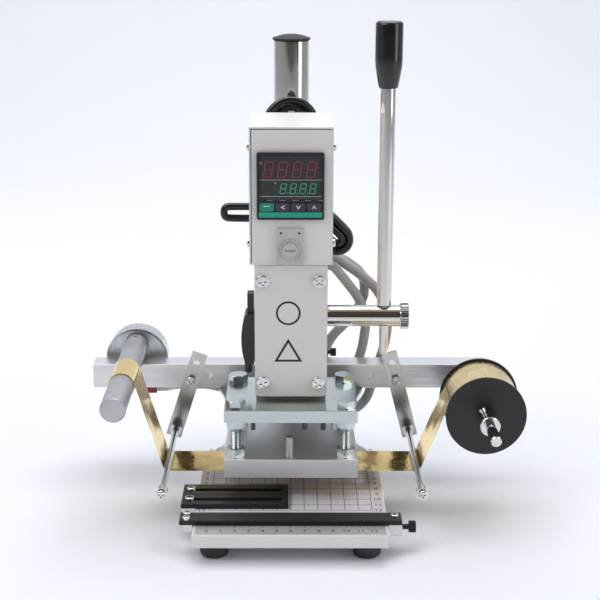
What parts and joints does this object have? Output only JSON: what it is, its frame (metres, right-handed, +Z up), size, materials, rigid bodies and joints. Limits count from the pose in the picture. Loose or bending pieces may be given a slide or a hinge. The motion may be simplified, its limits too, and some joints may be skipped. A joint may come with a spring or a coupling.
{
  "type": "hot foil stamper",
  "caption": "Bench hot foil stamping press: hand lever and rack ram, heated plate, motor-driven foil feed, control box on a round column and a ruled work table.",
  "frame": {"origin": "the work table's printed face, on the ram's axis", "axes": "+X to the operator's right along the foil feed, +Y away from the operator towards the column, +Z up"},
  "size_m": [0.339, 0.2507, 0.3705],
  "materials": {
    "aluminium": "satin",
    "black_anodised": "matt",
    "black_plastic": "matt",
    "bronze": "machined",
    "chrome": "polished",
    "cord_black": "satin",
    "gloss_black": "gloss",
    "gold_foil": "metallic gloss",
    "grey_plastic": "matt",
    "light_grey_plastic": "matt",
    "printed_sheet": "gloss",
    "rubber": "matt",
    "slate_plastic": "satin",
    "steel": "machined",
    "white_enamel": "satin",
    "zinc": "satin"
  },
  "bodies": {
    "base": {"base_plate": "white_enamel", "table_sheet": "printed_sheet", "rubber_feet": "rubber", "base_screws": "zinc", "column": "chrome", "column_cap": "black_plastic"},
    "front_stop": {"front_stop_bar": "black_anodised", "front_stop_blocks": "aluminium", "front_stop_screws": "chrome"},
    "front_knob": {"front_stop_knob": "black_plastic"},
    "side_carrier": {"side_stop_block": "aluminium", "side_stop_screws": "chrome"},
    "side_stop": {"side_stop_plate": "black_anodised"},
    "head": {"head_body": "white_enamel", "clamp_screws": "steel", "cover_plate": "white_enamel", "housing_screws": "chrome", "shaft_bushes": "bronze", "limit_switch": "slate_plastic", "gib_screw": "black_plastic", "box_shell": "white_enamel", "box_panel": "white_enamel", "controller": "black_plastic", "controller_window": "gloss_black", "timer_body": "light_grey_plastic", "cord_gland": "black_plastic", "mains_cord": "cord_black", "cord_lead": "cord_black", "cord_plug": "black_plastic", "wire_sleeves": "grey_plastic"},
    "dial": {"timer_dial": "grey_plastic"},
    "key_1": {"controller_key_1": "grey_plastic"},
    "key_2": {"controller_key_2": "grey_plastic"},
    "key_3": {"controller_key_3": "grey_plastic"},
    "key_4": {"controller_key_4": "grey_plastic"},
    "lever": {"pinion_shaft": "chrome", "lever_rod": "chrome", "lever_grip": "gloss_black"},
    "lever_knob": {"lever_screw": "chrome"},
    "ram": {"ram": "steel", "upper_plate": "aluminium", "plate_screws": "steel", "plate_bolts": "zinc", "heater_plate": "aluminium", "heater_inserts": "steel", "bar_bracket": "zinc", "foil_bar": "aluminium", "feed_screws": "chrome", "guide_arms": "zinc", "guide_pins": "steel", "supply_shaft": "steel", "supply_collars": "chrome", "take_up_motor": "zinc", "foil_web": "gold_foil"},
    "roller_left": {"guide_roller_left": "zinc"},
    "roller_right": {"guide_roller_right": "zinc"},
    "supply": {"supply_spool": "gloss_black", "supply_roll": "gold_foil"},
    "take_up": {"take_up_roller": "aluminium", "take_up_wind": "gold_foil"}
  },
  "joints": [
    {"name": "front_stop_slide", "type": "slide", "parent": "base", "child": "front_stop", "axis": [0, 1, 0], "range_m": [-0.014, 0.008]},
    {"name": "front_knob_turn", "type": "hinge", "parent": "front_stop", "child": "front_knob", "pos_m": [0.085, -0.08, -0.0046], "axis": [1, 0, 0], "continuous": true},
    {"name": "side_carrier_slide", "type": "slide", "parent": "base", "child": "side_carrier", "axis": [0, 1, 0], "range_m": [0, 0.06]},
    {"name": "side_stop_slide", "type": "slide", "parent": "side_carrier", "child": "side_stop", "axis": [1, 0, 0], "range_m": [-0.063, 0]},
    {"name": "head_height", "type": "slide", "parent": "base", "child": "head", "axis": [0, 0, 1], "range_m": [0, 0.04]},
    {"name": "dial_turn", "type": "hinge", "parent": "head", "child": "dial", "pos_m": [-0.00075, -0.0205, 0.187], "axis": [0, -1, 0], "range_deg": [-150, 150]},
    {"name": "key_1_press", "type": "slide", "parent": "head", "child": "key_1", "axis": [0, 1, 0], "range_m": [0, 0.0008], "stiffness_N_per_m": 600},
    {"name": "key_2_press", "type": "slide", "parent": "head", "child": "key_2", "axis": [0, 1, 0], "range_m": [0, 0.0008], "stiffness_N_per_m": 600},
    {"name": "key_3_press", "type": "slide", "parent": "head", "child": "key_3", "axis": [0, 1, 0], "range_m": [0, 0.0008], "stiffness_N_per_m": 600},
    {"name": "key_4_press", "type": "slide", "parent": "head", "child": "key_4", "axis": [0, 1, 0], "range_m": [0, 0.0008], "stiffness_N_per_m": 600},
    {"name": "lever_pull", "type": "hinge", "parent": "head", "child": "lever", "pos_m": [0.0715, 0.022, 0.125], "axis": [1, 0, 0], "range_deg": [0, 63.6]},
    {"name": "lever_knob_turn", "type": "hinge", "parent": "lever", "child": "lever_knob", "pos_m": [0.084, 0.022, 0.125], "axis": [1, 0, 0], "continuous": true},
    {"name": "ram_slide", "type": "slide", "parent": "head", "child": "ram", "axis": [0, 0, 1], "range_m": [-0.01, 0]},
    {"name": "roller_left_turn", "type": "hinge", "parent": "ram", "child": "roller_left", "pos_m": [-0.094, 0, 0.017], "axis": [0, 1, 0], "continuous": true},
    {"name": "roller_right_turn", "type": "hinge", "parent": "ram", "child": "roller_right", "pos_m": [0.096, 0, 0.017], "axis": [0, 1, 0], "continuous": true},
    {"name": "supply_turn", "type": "hinge", "parent": "ram", "child": "supply", "pos_m": [0.147, 0, 0.0595], "axis": [0, 1, 0], "continuous": true},
    {"name": "take_up_turn", "type": "hinge", "parent": "ram", "child": "take_up", "pos_m": [-0.1275, 0, 0.0805], "axis": [0, 1, 0], "continuous": true}
  ],
  "couplings": [
    {"joint": "ram_slide", "follows": "lever_pull", "m_per_rad": -0.009},
    {"joint": "supply_turn", "follows": "take_up_turn", "ratio": 0.3614},
    {"joint": "roller_left_turn", "follows": "take_up_turn", "ratio": -4.12},
    {"joint": "roller_right_turn", "follows": "take_up_turn", "ratio": -4.12}
  ]
}
